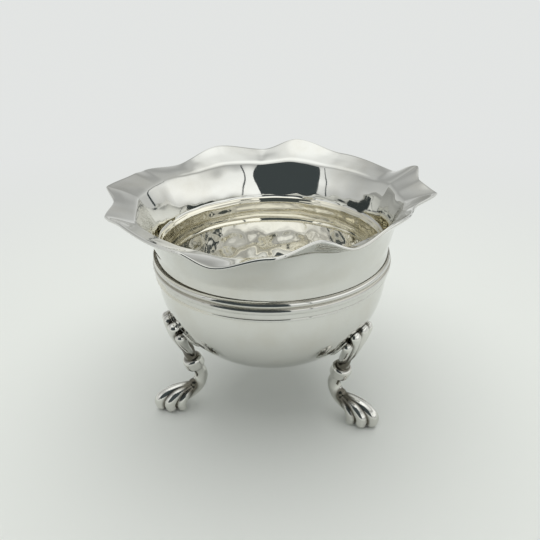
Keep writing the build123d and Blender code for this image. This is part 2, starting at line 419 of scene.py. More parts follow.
def make_girdle():
    """The drawn wire moulding: two beads over a flat fillet with a fine line."""
    lower, upper = arc(*LOWER_BEAD), arc(*UPPER_BEAD)
    profile, hollow = [], []
    for rows, dull in (
        (GIRDLE_FOOT[:1], FOOT_DULL), (GIRDLE_FOOT[1:], 0.0),
        (GIRDLE_LINE, CUT_DULL), (GIRDLE_FILLET, 0.0),
        (lower[:-BEAD_TOP], 0.0), (lower[-BEAD_TOP:], SIDE_DULL),
        (GIRDLE_GROOVE, CUT_DULL), (upper[:BEAD_FOOT], SIDE_DULL),
        (upper[BEAD_FOOT:-BEAD_TOP], 0.0), (upper[-BEAD_TOP:], SIDE_DULL),
        (GIRDLE_BACK, CUT_DULL),
    ):
        profile += [(WIRE_BACK + r, SEAM_Z - GIRDLE_DROP + z) for r, z in rows]
        hollow += [dull] * len(rows)
    marks = {"rippled": [0.0] * len(profile), "hollow": hollow}
    return turn("girdle_wire", profile, marks, GIRDLE_STEPS_ROUND, NO_RIPPLE, drawn_silver)


# Collar with its ruffled lip

# Rim of the lip: angle, radius, height, how pointed its outline is
RIM = [
    (3.1, 38.4, 55.05, 1.0),
    (14.1, 36.4, 55.8, 0.0),
    (23.8, 38.8, 57.25, 1.0),
    (35.8, 36.8, 54.05, 0.0),
    (62.9, 36.85, 55.35, 0.0),
    (84.4, 38.05, 57.95, 0.4),
    (99.0, 37.2, 55.1, 0.0),
    (119.2, 38.1, 56.75, 0.6),
    (140.0, 36.85, 53.7, 0.0),
    (157.3, 37.4, 54.9, 0.8),
    (165.9, 36.65, 55.6, 0.0),
    (182.4, 38.5, 55.85, 0.9),
    (195.0, 35.25, 54.8, 0.0),
    (210.2, 37.35, 55.35, 1.0),
    (223.9, 36.6, 56.25, 0.0),
    (249.4, 37.2, 55.65, 0.0),
    (261.1, 37.9, 53.95, 0.7),
    (276.6, 38.1, 56.35, 0.0),
    (291.6, 35.2, 57.8, 0.4),
    (303.3, 35.8, 55.3, 0.0),
    (318.7, 35.9, 57.85, 0.3),
    (344.3, 33.4, 55.55, 0.0),
]
POINT_SLOPE = 1.3         # slope of the outline beside a fully pointed stop
BEND_REACH = 3.6
BEND_RISE = 8.8
BEND_SHARE = 0.25         # share of the ruffle that the bend follows
BEND_ROUNDS = 8           # times that the bend is rounded
LIP_REACH = 9.3
LIP_RISE = 11.3
COVE_START = 0.62         # share of the flare that is there from the neck up
CUP = 0.14                # how far the lip is cupped between bend and rim
EDGE_ROUND = 0.6
EDGE_STEPS = 7
# Small pleat in the lip: angle, half breadth in degrees, depth
PLEAT = (100.6, 1.9, 0.16)
# Marks of the hand in the sheet: size, wavelength, seed
DENTS = (0.12, 17.0, 3)
PANNING = (0.02, 6.0, 5)
CRUMPLE = (0.05, 6.0, 11)
LAP_INWARD = (0.07, 7.0, 17)
LAP_UPWARD = (0.06, 9.0, 19)
WAVES_ADDED = 24
WAVE_SPREAD = (0.7, 1.4)
DENT_RISE = 4.0           # height above the neck at which the dents are full
DENT_FREE = 0.15          # share of the sheet next to the rim where they fade
CRUMPLE_HEIGHT = 1.6
# Steps round the collar, and rows of its line from the seam to the rim
LIP_STEPS_ROUND = 720
NECK_ROWS = 19
COVE_ROWS = 59
LIP_ROWS = 40
RIM_ROW = NECK_ROWS + COVE_ROWS + LIP_ROWS - 1
BEND_ROW, BEND_END = 70, 90
# Rows that the mesh keeps: all of them round the bend, fewer where the sheet is plain
KEPT_ROWS = np.r_[
    0, 6:NECK_ROWS:2, NECK_ROWS:BEND_ROW:3, BEND_ROW:BEND_END, BEND_END:RIM_ROW:3, RIM_ROW,
]
# Inside under the neck: shoulder, lapped skirt and the ledge on the bowl's upper edge
LAP = [
    (SKIRT_INNER + 0.74, NECK_Z - 0.02),
    (SKIRT_INNER + 0.60, NECK_Z - 0.14),
    (SKIRT_INNER + 0.49, NECK_Z - 0.40),
    (SKIRT_INNER + 0.36, NECK_Z - 0.72),
    (SKIRT_INNER + 0.16, NECK_Z - 0.90),
    (SKIRT_INNER + 0.06, NECK_Z - 1.15),
    (SKIRT_INNER, NECK_Z - 1.6),
    (SKIRT_INNER, COLLAR_Z + 0.8),
    (SKIRT_INNER, COLLAR_Z - 0.4),
    (SKIRT_INNER - 0.08, COLLAR_Z - 0.62),
    (SKIRT_INNER - 0.11, COLLAR_Z - 0.8),
    (SKIRT_INNER - 0.08, COLLAR_Z - 0.98),
    (SKIRT_INNER, COLLAR_Z - 1.2),
    (SKIRT_INNER, SPRING_Z + 1.4),
    (SKIRT_INNER - 0.08, SPRING_Z + 1.05),
    (SKIRT_INNER - 0.26, SPRING_Z + 0.75),
    (SKIRT_INNER - 0.38, SPRING_Z + 0.48),
    (SKIRT_INNER - 0.40, SPRING_Z + 0.25),
    (SKIRT_INNER - 0.30, SPRING_Z + 0.05),
    (SKIRT_INNER - 0.10, SPRING_Z),
    (SKIRT_OUTER, SPRING_Z),
    (SKIRT_OUTER, COLLAR_Z),
]
JOINT_ROWS = 2            # last rows of the lap, which lie in the joint and stay true
SEAM_DULL = 0.6


def eased(angles, column, pointed):
    """Rim values at these angles, flat at plain stops and sloping at pointed ones."""
    stops = np.array([row[0] for row in RIM] + [RIM[0][0] + 360.0])
    values = np.array([row[column] for row in RIM] + [RIM[0][column]])
    slopes = np.array([row[3] for row in RIM] + [RIM[0][3]]) * pointed
    turned_angles = np.where(angles < stops[0], angles + 360, angles)
    index = np.searchsorted(stops, turned_angles, side="right") - 1
    index = np.clip(index, 0, len(RIM) - 1)
    share = (turned_angles - stops[index]) / (stops[index + 1] - stops[index])
    leaving = slopes[index] * (share**3 - 2 * share**2 + share)
    arriving = slopes[index + 1] * (share**3 - share**2)
    blend = 3 * share**2 - 2 * share**3 + POINT_SLOPE * (leaving + arriving)
    return values[index] + (values[index + 1] - values[index]) * blend


def uneven(points, hand):
    """Smooth unevenness at these points, from its size, wavelength and seed."""
    size, wavelength, seed = hand
    pick = np.random.default_rng(seed)
    ways = pick.normal(size=(WAVES_ADDED, 3))
    stretch = pick.uniform(*WAVE_SPREAD, (WAVES_ADDED, 1))
    ways *= 2 * pi / wavelength * stretch / np.linalg.norm(ways, axis=1, keepdims=True)
    starts = pick.uniform(0, 2 * pi, WAVES_ADDED)
    return size * (np.cos(points @ ways.T + starts).sum(-1) / WAVES_ADDED**0.5)


def round_axis(r, z, around):
    """Points at these distances from the axis and heights, one line to each angle."""
    return np.stack([r * np.cos(around), r * np.sin(around), z], -1)


def collar_line(angles):
    """Outer line of the sheet at each angle: neck, cove and lip, from the seam to the rim."""
    rim_r = eased(angles, 1, 1.0)[:, None]
    rim_z = eased(angles, 2, 0.0)[:, None]
    bend_r = BODY_RADIUS + BEND_REACH + BEND_SHARE * (rim_r - BODY_RADIUS - LIP_REACH)
    bend_z = NECK_Z + BEND_RISE + BEND_SHARE * (rim_z - NECK_Z - LIP_RISE)

    neck_r = np.full((LIP_STEPS_ROUND, NECK_ROWS), BODY_RADIUS)
    neck_z = np.tile(np.linspace(COLLAR_Z, NECK_Z, NECK_ROWS + 1)[:-1], (LIP_STEPS_ROUND, 1))
    climb = np.linspace(0, 1, COVE_ROWS + 1)[None, :-1]
    flare = COVE_START * climb + (1 - COVE_START) * climb**2
    cove_r = BODY_RADIUS + (bend_r - BODY_RADIUS) * flare
    cove_z = NECK_Z + (bend_z - NECK_Z) * climb
    along = np.linspace(0, 1, LIP_ROWS)[None, :]
    lip_r = bend_r + (rim_r - bend_r) * along
    lip_z = bend_z + (rim_z - bend_z) * along
    belly = 4 * along * (1 - along)
    lip_z -= CUP * (rim_z - rim_z.mean()) * belly
    place, breadth, depth = PLEAT
    lip_z -= depth * np.exp(-(((angles[:, None] - place + along) / breadth) ** 2)) * belly**0.5

    # Round the bend, with the ends held
    lines = [np.hstack([neck_r, cove_r, lip_r]), np.hstack([neck_z, cove_z, lip_z])]
    for line in lines:
        for _ in range(BEND_ROUNDS):
            line[:, 1:-1] = (line[:, :-2] + 2 * line[:, 1:-1] + line[:, 2:]) / 4
    return lines


def sheet_faces(line_r, line_z, around):
    """Outer face of the sheet with the dents of the hand, and its crumpled inner face."""
    spots = round_axis(line_r, line_z, around)
    to_rim = np.linspace(1, 0, line_r.shape[1])[None, :]
    loose = np.clip((line_z - NECK_Z) / DENT_RISE, 0, 1) * np.clip(to_rim / DENT_FREE, 0, 1)
    dent = (uneven(spots, DENTS) + uneven(spots, PANNING)) * loose
    way_r = np.gradient(line_r, axis=1)
    way_z = np.gradient(line_z, axis=1)
    length = np.hypot(way_r, way_z)
    outer_r = line_r - way_z / length * dent
    outer_z = line_z + way_r / length * dent
    throat = np.exp(-(((outer_z - NECK_Z) / CRUMPLE_HEIGHT) ** 2))
    thick = COLLAR_SHEET + throat * uneven(spots, CRUMPLE)
    inner_r = outer_r - way_z / length * thick
    inner_z = outer_z + way_r / length * thick
    inside = KEPT_ROWS[KEPT_ROWS >= NECK_ROWS][::-1]
    outer = outer_r[:, KEPT_ROWS], outer_z[:, KEPT_ROWS]
    return outer, (inner_r[:, inside], inner_z[:, inside])


def rounded_edge(outer, inner):
    """Rows round the rim, between the two faces of the sheet."""
    middle_r, middle_z = [(a[:, -1:] + b[:, :1]) / 2 for a, b in zip(outer, inner)]
    half_r = outer[0][:, -1:] - middle_r
    half_z = outer[1][:, -1:] - middle_z
    turns = np.radians(np.linspace(0, 180, EDGE_STEPS))[None, 1:-1]
    edge_r = middle_r + half_r * np.cos(turns) - half_z * EDGE_ROUND * np.sin(turns)
    edge_z = middle_z + half_z * np.cos(turns) + half_r * EDGE_ROUND * np.sin(turns)
    return edge_r, edge_z


def lap_rows(around):
    """Rows of the shoulder and the skirt, a little uneven where they show."""
    lap_r, lap_z = [np.tile(column, (LIP_STEPS_ROUND, 1)) for column in np.array(LAP).T]
    spots = round_axis(lap_r, lap_z, around)
    lap_r[:, :-JOINT_ROWS] += uneven(spots, LAP_INWARD)[:, :-JOINT_ROWS]
    lap_z[:, :-JOINT_ROWS] += uneven(spots, LAP_UPWARD)[:, :-JOINT_ROWS]
    return lap_r, lap_z


def make_collar():
    """The neck collar: lapped skirt, neck, flare and ruffled lip in one sheet."""
    angles = np.arange(LIP_STEPS_ROUND) * 360 / LIP_STEPS_ROUND
    around = np.radians(angles)[:, None]
    outer, inner = sheet_faces(*collar_line(angles), around)
    rows = [outer, rounded_edge(outer, inner), inner, lap_rows(around)]
    ring_r, ring_z = [np.hstack(columns) for columns in zip(*rows)]
    points = round_axis(ring_r, ring_z, around)

    # The neck stands on the shifted body, the rim does not
    rise = np.clip((ring_z - NECK_Z) / BEND_RISE, 0, 1)[..., None]
    points += (1 - rise**2 * (3 - 2 * rise)) * np.array(BODY_SHIFT)

    number = np.arange(ring_r.size).reshape(ring_r.shape)
    after = np.roll(number, -1, 0)
    ring = [number, after, np.roll(after, -1, 1), np.roll(number, -1, 1)]
    faces = np.stack(ring, -1).reshape(-1, 4)
    hollow = np.zeros(ring_r.shape)
    hollow[:, 0] = SEAM_DULL
    # The lap under the neck takes all of the painted warm reflection
    painted_warmth = np.zeros(ring_r.shape)
    painted_warmth[:, -len(LAP):] = FULL_PAINTED_WARMTH
    mesh = mesh_from("ruffled_collar", points.reshape(-1, 3), faces, {
        "hollow": hollow.ravel(), "painted_warmth": painted_warmth.ravel(),
    })
    face_outwards(mesh)
    mesh.materials.append(sheet_silver)
    return link("ruffled_collar", mesh)


# Leg casting, as a distance field that is skinned with quads

# Shin: distance from the axis, height, radius
SHIN = [
    (23.2, 19.6, 1.3),
    (22.3, 17.2, 1.45),
    (21.5, 14.6, 1.6),
    (20.4, 12.0, 1.55),
    (19.6, 9.9, 1.6),
    (19.95, 7.9, 1.65),
    (21.2, 5.9, 1.7),
    (23.3, 4.2, 1.7),
    (26.2, 2.6, 1.75),
    (28.4, 2.1, 1.6),
]
KNOP_PLACE = (21.3, 13.85)
KNOP_LEAN = 22.0
KNOP_RADIUS = 1.62
KNOP_ROUND = 0.92
KNOP_BAND = 0.8
# Small parts of the shin: a drop under the knop, the instep and a fine cut down the front
DROP = [(21.9, 0.0, 11.9, 0.6), (21.3, 0.0, 10.9, 0.4)]
INSTEP = [(21.0, 0.0, 7.1, 1.25), (21.7, 0.0, 6.8, 1.25)]
SHIN_CUT = [(21.0, 0.0, 10.6, 0.2), (21.05, 0.0, 9.6, 0.22), (21.3, 0.0, 8.6, 0.2)]
FLUTE_BREADTH = 1.08
# Flutes of the knee: distance from the axis, sideways place, height, radius
FLUTES = [
    [(22.4, 0.0, 16.8, 0.7), (24.0, 0.0, 19.6, 0.95), (25.5, 0.0, 23.0, 1.1),
     (26.2, 0.0, 25.8, 1.2), (26.3, 0.0, 27.3, 1.45)],
    [(22.2, 0.6, 16.8, 0.65), (23.7, 1.3, 19.6, 0.95), (25.1, 2.2, 22.8, 1.1),
     (25.9, 2.7, 25.4, 1.2), (26.0, 2.85, 26.7, 1.4)],
    [(21.8, 0.95, 16.8, 0.6), (23.0, 2.2, 19.4, 0.85), (24.1, 3.4, 21.8, 1.0),
     (24.8, 4.2, 23.7, 1.15), (25.0, 4.45, 24.6, 1.3)],
]
# Raised border beside the flutes, on the bowl: sideways place, height, radius
BORDER = [
    (2.6, 19.4, 0.3), (4.3, 21.2, 0.35), (5.4, 23.0, 0.4), (5.75, 24.6, 0.4), (5.4, 26.2, 0.3),
]
BORDER_STAND = 0.2
KNEE_CORE = [(22.0, 18.0, 1.1), (23.2, 21.0, 1.3), (24.0, 23.5, 1.0)]
# Ground behind the flutes, flat on the bowl: height and half breadth at its foot and top
GROUND = ((22.0, 3.5), (24.0, 4.2))
GROUND_THICK = 0.35
# Toes: root to tip as distance from the axis, sideways place, height, radius
TOES = [
    [(22.6, 0.0, 6.5, 0.9), (25.4, 0.0, 5.8, 1.15), (27.8, 0.0, 4.9, 1.4),
     (29.6, 0.0, 3.8, 1.55), (30.3, 0.0, 2.7, 1.6), (30.2, 0.0, 1.6, 1.55)],
    [(22.5, 0.4, 6.4, 0.8), (24.5, 0.85, 5.6, 1.05), (26.5, 1.25, 4.7, 1.3),
     (27.8, 1.5, 3.6, 1.45), (28.4, 1.6, 2.6, 1.5), (28.3, 1.6, 1.55, 1.45)],
    [(22.1, 0.6, 6.1, 0.75), (23.5, 1.15, 5.2, 1.0), (24.7, 1.6, 4.3, 1.2),
     (25.5, 1.85, 3.2, 1.3), (25.8, 1.95, 2.3, 1.3), (25.7, 1.95, 1.4, 1.25)],
]
# Width of the fillets and of the rounding at cut edges
GROOVE = 0.1
GROUND_FILLET = 0.3
SEAT_FILLET = 0.5
CUT_EDGE = 0.08
SADDLE_EDGE = 0.04
SOLE_EDGE = 0.05
# Hollows: groove so soft that it fills them, depth at which dirt starts, depth to full dirt
FILLED_GROOVE = 1.6
HOLLOW_START = 0.14
HOLLOW_DEPTH = 0.25
HOLLOW_DULL = 0.95
SEAT_DEPTH = 1.2          # how far from the bowl the knee still goes with it
# Box round the casting, its grain, and the coarser cubes that find its surface
CASTING_LOW = np.array([16.8, -6.6, -0.6])
CASTING_HIGH = np.array([32.6, 6.6, 30.4])
GRAIN = 0.17
COARSE = 4
NEAR_CUBES = 2.2
# Evening out of the quads
EVEN_ROUNDS = 3
SLOPE_REACH = 0.02
LEAST_SLOPE = 0.2
LONGEST_MOVE = 0.1
LEG_ANGLES = {"front_left": 210, "front_right": 330, "rear": 90}
# Each foot as set by hand: how far its toes stray clockwise, seen from above
FOOT_STRAY = {"front_left": 2.3, "front_right": -0.9, "rear": 0.0}
# Where the stray starts and is full: distance from the axis, height
STRAY_START = (19.5, 13.0)
STRAY_FULL = (31.0, 8.0)


def smooth_path(rows, spans):
    """Points on a smooth line through these rows."""
    rows = np.array(rows, float)
    padded = np.vstack([2 * rows[0] - rows[1], rows, 2 * rows[-1] - rows[-2]])
    path = []
    for a, b, c, d in zip(padded, padded[1:], padded[2:], padded[3:]):
        for t in np.arange(spans) / spans:
            path.append(0.5 * (2 * b + (c - a) * t + (2 * a - 5 * b + 4 * c - d) * t**2
                               + (3 * b - a - 3 * c + d) * t**3))
    path.append(rows[-1])
    return np.array(path)


def in_plane(rows):
    """Rows of (distance, height, radius) with a sideways place of nought."""
    return [(r, 0.0, z, radius) for r, z, radius in rows]


def on_bowl(rows, stand):
    """Rows of (sideways place, height, radius) as points that stand this far off the bowl."""
    path = []
    for aside, z, radius in rows:
        down = ((SPRING_Z - z) / BOWL_DEPTH) ** BOWL_FULLNESS
        across = BODY_RADIUS * (1 - down) ** (1 / BOWL_FULLNESS)
        path.append((((across + stand) ** 2 - aside**2) ** 0.5, aside, z, radius))
    return path


SHIN_PATH = smooth_path(in_plane(SHIN), 3)
CORE_PATH = smooth_path(in_plane(KNEE_CORE), 3)
BORDER_PATH = smooth_path(on_bowl(BORDER, BORDER_STAND), 3)
FLUTE_PATHS = [smooth_path(rows, 4) for rows in FLUTES]
TOE_PATHS = [smooth_path(rows, 4) for rows in TOES]


def to_rod(points, path):
    """Distance from points to a rod of varying radius along a path."""
    best = np.full(len(points), 1e3)
    for start, end in zip(path, path[1:]):
        way = end[:3] - start[:3]
        t = np.clip((points - start[:3]) @ way / (way @ way), 0, 1)
        gap = points - start[:3] - t[:, None] * way
        away = np.sqrt((gap * gap).sum(1)) - start[3] - t * (end[3] - start[3])
        best = np.minimum(best, away)
    return best


def soft_join(first, second, width):
    """Union of two distances with a small fillet."""
    share = np.clip(0.5 + 0.5 * (second - first) / width, 0, 1)
    return second + share * (first - second) - width * share * (1 - share)


def soft_cut(first, second, width):
    """First distance less second, with a slightly rounded edge."""
    return -soft_join(-first, second, width)


def to_bowl(points):
    """Distance from points to the bowl's outside, near enough close to it."""
    across = np.hypot(points[:, 0], points[:, 1]) / BODY_RADIUS
    down = np.clip((SPRING_Z - points[:, 2]) / BOWL_DEPTH, 0, None)
    level = across**BOWL_FULLNESS + down**BOWL_FULLNESS
    slope_r = across ** (BOWL_FULLNESS - 1) / BODY_RADIUS
    slope_z = down ** (BOWL_FULLNESS - 1) / BOWL_DEPTH
    steep = BOWL_FULLNESS * np.hypot(slope_r, slope_z)
    return (level - 1) / np.maximum(steep, 1e-4)


def to_ground(points):
    """Distance from points to the plain ground that the flutes stand on."""
    (low, foot), (high, top) = GROUND
    share = np.clip((points[:, 2] - low) / (high - low), 0, 1)
    away = np.hypot(points[:, 1], points[:, 2] - low - share * (high - low))
    outline = away - foot - share * (top - foot)
    return -soft_join(-outline, GROUND_THICK - to_bowl(points), GROUND_FILLET)


def to_knop(points):
    """Distance from points to the leaning ring knop."""
    lean = radians(KNOP_LEAN)
    apart = points - [KNOP_PLACE[0], 0, KNOP_PLACE[1]]
    up = apart @ np.array([sin(lean), 0, cos(lean)])
    out = apart @ np.array([cos(lean), 0, -sin(lean)])
    beside = np.maximum(np.abs(up) - KNOP_BAND, 0)
    return np.hypot(np.hypot(out, apart[:, 1]) - KNOP_RADIUS, beside) - KNOP_ROUND


def to_leg(points, groove):
    """Distance from points to the leg casting, with grooves of this softness."""
    folded = points * [1, 0, 1] + np.abs(points[:, 1:2]) * [0, 1, 0]
    knee = soft_join(to_rod(folded, CORE_PATH), to_ground(folded), GROUND_FILLET)
    knee = soft_join(knee, to_rod(folded, BORDER_PATH), groove)
    squeeze = np.array([1, 1 / FLUTE_BREADTH, 1])
    for path in FLUTE_PATHS:
        knee = soft_join(knee, to_rod(folded * squeeze, path * [*squeeze, 1]), groove)
    body = soft_join(to_rod(folded, SHIN_PATH), knee, groove)
    body = soft_join(body, to_knop(folded), groove)
    for path in [*TOE_PATHS, np.array(INSTEP), np.array(DROP)]:
        body = soft_join(body, to_rod(folded, path), groove)
    return soft_cut(body, to_rod(folded, np.array(SHIN_CUT)), CUT_EDGE)


def to_fitted_leg(points):
    """The leg with its fillet against the bowl, its saddle and its flat sole."""
    bowl = to_bowl(points)
    leg = soft_join(to_leg(points, GROOVE), bowl, SEAT_FILLET)
    leg = soft_cut(leg, bowl - SOLDER_FILM, SADDLE_EDGE)
    return soft_cut(leg, points[:, 2], SOLE_EDGE)


def sampled(distance, low, high):
    """A distance field on a grid, worked out in full near its surface only."""
    sizes = np.ceil((high - low) / GRAIN).astype(int) + 1
    sizes = (sizes // COARSE + 1) * COARSE + 1
    axes = [low[i] + GRAIN * np.arange(sizes[i]) for i in range(3)]
    rough = np.stack(np.meshgrid(*[axis[::COARSE] for axis in axes], indexing="ij"), -1)
    field = distance(rough.reshape(-1, 3)).reshape(rough.shape[:3])
    for axis in range(3):
        field = field.repeat(COARSE, axis)
    field = np.ascontiguousarray(field[: sizes[0], : sizes[1], : sizes[2]])
    close = np.abs(field) < COARSE * GRAIN * NEAR_CUBES
    field[close] = distance(low + GRAIN * np.argwhere(close))
    return field


def surface_points(field, low):
    """A point in each cube that the surface crosses, and each cube's number for its point."""
    cells = np.array(field.shape) - 1
    count = np.zeros(cells, int)
    total = np.zeros((*cells, 3))
    for axis in range(3):
        others = [i for i in range(3) if i != axis]
        for shift in ((0, 0), (0, 1), (1, 0), (1, 1)):
            begin = [slice(0, cells[i]) for i in range(3)]
            for other, step in zip(others, shift):
                begin[other] = slice(step, step + cells[other])
            finish = list(begin)
            finish[axis] = slice(1, 1 + cells[axis])
            a, b = field[tuple(begin)], field[tuple(finish)]
            crossed = (a < 0) != (b < 0)
            count += crossed
            total[..., axis] += np.where(crossed, a / np.where(crossed, a - b, 1), 0)
            for other, step in zip(others, shift):
                total[..., other] += crossed * step
    live = np.argwhere(count > 0)
    cubes = tuple(live.T)
    index = -np.ones(cells, int)
    index[cubes] = np.arange(len(live))
    points = low + GRAIN * (live + total[cubes] / count[cubes][:, None])
    return points, index


def surface_quads(field, index):
    """Quads that join the points of neighbouring cubes, all facing outwards."""
    inside = field < 0
    quads = []
    for axis in range(3):
        one, two = (axis + 1) % 3, (axis + 2) % 3
        begin = [slice(None)] * 3
        begin[axis] = slice(0, -1)
        finish = [slice(None)] * 3
        finish[axis] = slice(1, None)
        crossed = np.argwhere(inside[tuple(begin)] != inside[tuple(finish)])
        for side in (one, two):
            within = (crossed[:, side] > 0) & (crossed[:, side] < index.shape[side])
            crossed = crossed[within]
        ring = []
        for step_one, step_two in ((-1, -1), (0, -1), (0, 0), (-1, 0)):
            cell = crossed.copy()
            cell[:, one] += step_one
            cell[:, two] += step_two
            ring.append(index[tuple(cell.T)])
        ring = np.stack(ring, -1)
        flipped = ~inside[tuple(crossed.T)]
        ring[flipped] = ring[flipped][:, ::-1]
        quads.append(ring)
    return np.vstack(quads)


def evened(distance, points, quads):
    """The points spread evenly and drawn back onto the surface."""
    edges = np.vstack([quads[:, [i, (i + 1) % 4]] for i in range(4)])
    degree = np.bincount(edges.ravel(), minlength=len(points))[:, None]
    for _ in range(EVEN_ROUNDS):
        mean = np.zeros_like(points)
        np.add.at(mean, edges[:, 0], points[edges[:, 1]])
        np.add.at(mean, edges[:, 1], points[edges[:, 0]])
        points = 0.5 * points + 0.5 * mean / degree
        value = distance(points)
        ahead = [distance(points + SLOPE_REACH * step) for step in np.eye(3)]
        slope = (np.stack(ahead, -1) - value[:, None]) / SLOPE_REACH
        steep = np.maximum((slope**2).sum(1, keepdims=True), LEAST_SLOPE)
        points = points - np.clip(value[:, None] * slope / steep, -LONGEST_MOVE, LONGEST_MOVE)
    return points


def make_casting():
    """One leg casting on the +X side, with its hollows and its seat marked."""
    field = sampled(to_fitted_leg, CASTING_LOW, CASTING_HIGH)
    points, index = surface_points(field, CASTING_LOW)
    quads = surface_quads(field, index)
    points = evened(to_fitted_leg, points, quads)
    depth = to_leg(points, GROOVE) - to_leg(points, FILLED_GROOVE)
    hollow = HOLLOW_DULL * np.clip((depth - HOLLOW_START) / HOLLOW_DEPTH, 0, 1)
    seat = np.clip(1 - (to_bowl(points) - SOLDER_FILM) / SEAT_DEPTH, 0, 1)
    return mesh_from("leg_casting", points, quads, {"hollow": hollow, "seat": seat})


def setting_tree():
    """Strays a casting's foot a little, fits its seat to the bowl and turns it to its place."""
    tree = new_tree("set_on_bowl", [
        ("Turn", "NodeSocketRotation"),
        ("Foot stray", "NodeSocketFloat"),
        ("Stray from height", "NodeSocketFloat"),
        ("Stray to height", "NodeSocketFloat"),
        ("Stray from place", "NodeSocketFloat"),
        ("Stray to place", "NodeSocketFloat"),
        ("Seat shift", "NodeSocketFloat"),
        ("Finish", "NodeSocketMaterial"),
    ])
    given = add_node(tree, "NodeGroupInput").outputs
    where = add_node(tree, "GeometryNodeInputPosition").outputs["Position"]
    parts = add_node(tree, "ShaderNodeSeparateXYZ", {0: where}).outputs
    below = ranged(
        tree, parts["Z"], (given["Stray from height"], given["Stray to height"]),
        (0.0, given["Foot stray"]), interpolation_type="SMOOTHSTEP")
    along = ranged(tree, parts["X"], (given["Stray from place"], given["Stray to place"]))
    stray = reckon(tree, "MULTIPLY", below, along)
    seat = add_node(tree, "GeometryNodeInputNamedAttribute", {
        "Name": "seat",
    }, data_type="FLOAT").outputs["Attribute"]
    nearer = reckon(tree, "MULTIPLY", seat, given["Seat shift"])
    aside = add_node(tree, "ShaderNodeCombineXYZ", {"X": nearer, "Y": stray})
    fitted = add_node(tree, "GeometryNodeSetPosition", {
        "Geometry": given["Geometry"], "Offset": aside.outputs["Vector"],
    })
    placed = add_node(tree, "GeometryNodeTransform", {
        "Geometry": fitted.outputs["Geometry"], "Rotation": given["Turn"],
    })
    end_tree(tree, placed.outputs["Geometry"], given["Finish"])
    return tree


def make_legs():
    """The three legs, from one casting."""
    casting = make_casting()
    setting = setting_tree()
    legs = {}
    for side, angle in LEG_ANGLES.items():
        turn_by = radians(angle)
        outward = BODY_SHIFT[0] * cos(turn_by) + BODY_SHIFT[1] * sin(turn_by)
        legs[side] = shaped(link(f"{side}_paw_leg", casting), setting, {
            "Turn": (0.0, 0.0, turn_by),
            "Foot stray": -FOOT_STRAY[side] * MM,
            "Stray from height": STRAY_START[1] * MM,
            "Stray to height": STRAY_FULL[1] * MM,
            "Stray from place": STRAY_START[0] * MM,
            "Stray to place": STRAY_FULL[0] * MM,
            "Seat shift": outward * MM,
            "Finish": cast_silver,
        })
    return legs


# Put the pieces on the frame

SOLDER_NODES = (
    "collar_solder", "girdle_solder", "front_left_solder", "front_right_solder", "rear_solder",
)


def dress(piece, node):
    """A piece that stands for a node of the frame."""
    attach(piece, "root")
    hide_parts(node)


dress(make_bowl(), "bowl")
dress(make_girdle(), "girdle_moulding")
dress(make_collar(), "neck_collar")
for side, leg in make_legs().items():
    dress(leg, f"{side}_leg")
for node in SOLDER_NODES:
    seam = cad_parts[node]
    seam.data.materials.clear()
    seam.data.materials.append(hard_solder)


# Floor, cards and light: the cards in millimetres, the floor and the lamp in metres

FLOOR_COLOUR = (0.81, 0.84, 0.808)
BACKGROUND = (0.765, 0.78, 0.77)
FLOOR_HALF = 6.0
# Where the floor fades into the background: centre, first and last distance from it
FADE_CENTRE = (0.0, -0.05, 0.0)
FADE_RANGE = (0.09, 0.32)
# Dark cards round the object: centre, breadth and height, the point that they face
CARDS = {
    "dark_opening": ((-62, -200, 165), (282, 310), (-62, 0, 165)),
    "left_seam": ((-268, -200, 190), (13, 280), (-268, 0, 190)),
    "right_seam": ((161, -200, 190), (11, 280), (161, 0, 190)),
    "back_seam": ((150, 224, 134), (14, 300), (-30, 6, 134)),
}
CARD_COLOUR = (0.062, 0.075, 0.078)
# Brightness by height of the line of sight, on the tent's dim side and on its bright flaps:
# sine of the angle, strength
TENT = [(0.0, 0.80), (0.22, 0.60), (0.46, 0.45), (0.68, 0.62), (0.86, 1.06), (0.98, 1.3)]
FLAPS = [
    (0.0, 0.55), (0.10, 0.64), (0.33, 1.28), (0.54, 1.15), (0.71, 0.54), (0.86, 1.0),
    (0.97, 1.3),
]
TENT_COLOUR = (1.0, 1.015, 1.0)
BRIGHT_SIDE = (0.62, -0.78, 0.0)
BRIGHT_RANGE = (-0.75, 0.45)
EVEN_LIGHT = 0.47
EVEN_COLOUR = (1.0, 1.0, 0.99)
LAMP_PLACE = (0.0, 0.05, 0.40)
LAMP_WIDTH = 0.55
LAMP_POWER = 1.2
LAMP_COLOUR = (1.0, 0.995, 0.98)


def make_plate(name, half_x, half_y):
    """A flat plate about the origin, facing up, in metres."""
    mesh = bpy.data.meshes.new(name)
    corners = [(x * half_x, y * half_y, 0) for x, y in ((-1, -1), (1, -1), (1, 1), (-1, 1))]
    mesh.from_pydata(corners, [], [(0, 1, 2, 3)])
    return mesh


def make_floor():
    """A wide pale floor that keeps the shadow near the object and fades into the backdrop."""
    finish = bpy.data.materials.new("pale_floor")
    tree = bare_tree(finish)
    place = add_node(tree, "ShaderNodeTexCoord").outputs["Object"]
    away = add_node(tree, "ShaderNodeVectorMath", {
        0: place, 1: FADE_CENTRE,
    }, operation="DISTANCE").outputs["Value"]
    share = ranged(tree, away, FADE_RANGE, interpolation_type="SMOOTHSTEP")
    matt = add_node(tree, "ShaderNodeBsdfDiffuse", {"Color": (*FLOOR_COLOUR, 1.0)})
    glow = add_node(tree, "ShaderNodeEmission", {"Color": (*BACKGROUND, 1.0), "Strength": 1.0})
    both = add_node(tree, "ShaderNodeMixShader", {
        0: share, 1: matt.outputs["BSDF"], 2: glow.outputs["Emission"],
    })
    add_node(tree, "ShaderNodeOutputMaterial", {"Surface": both.outputs["Shader"]})
    mesh = make_plate("floor", FLOOR_HALF, FLOOR_HALF)
    mesh.materials.append(finish)
    floor = link("floor", mesh)


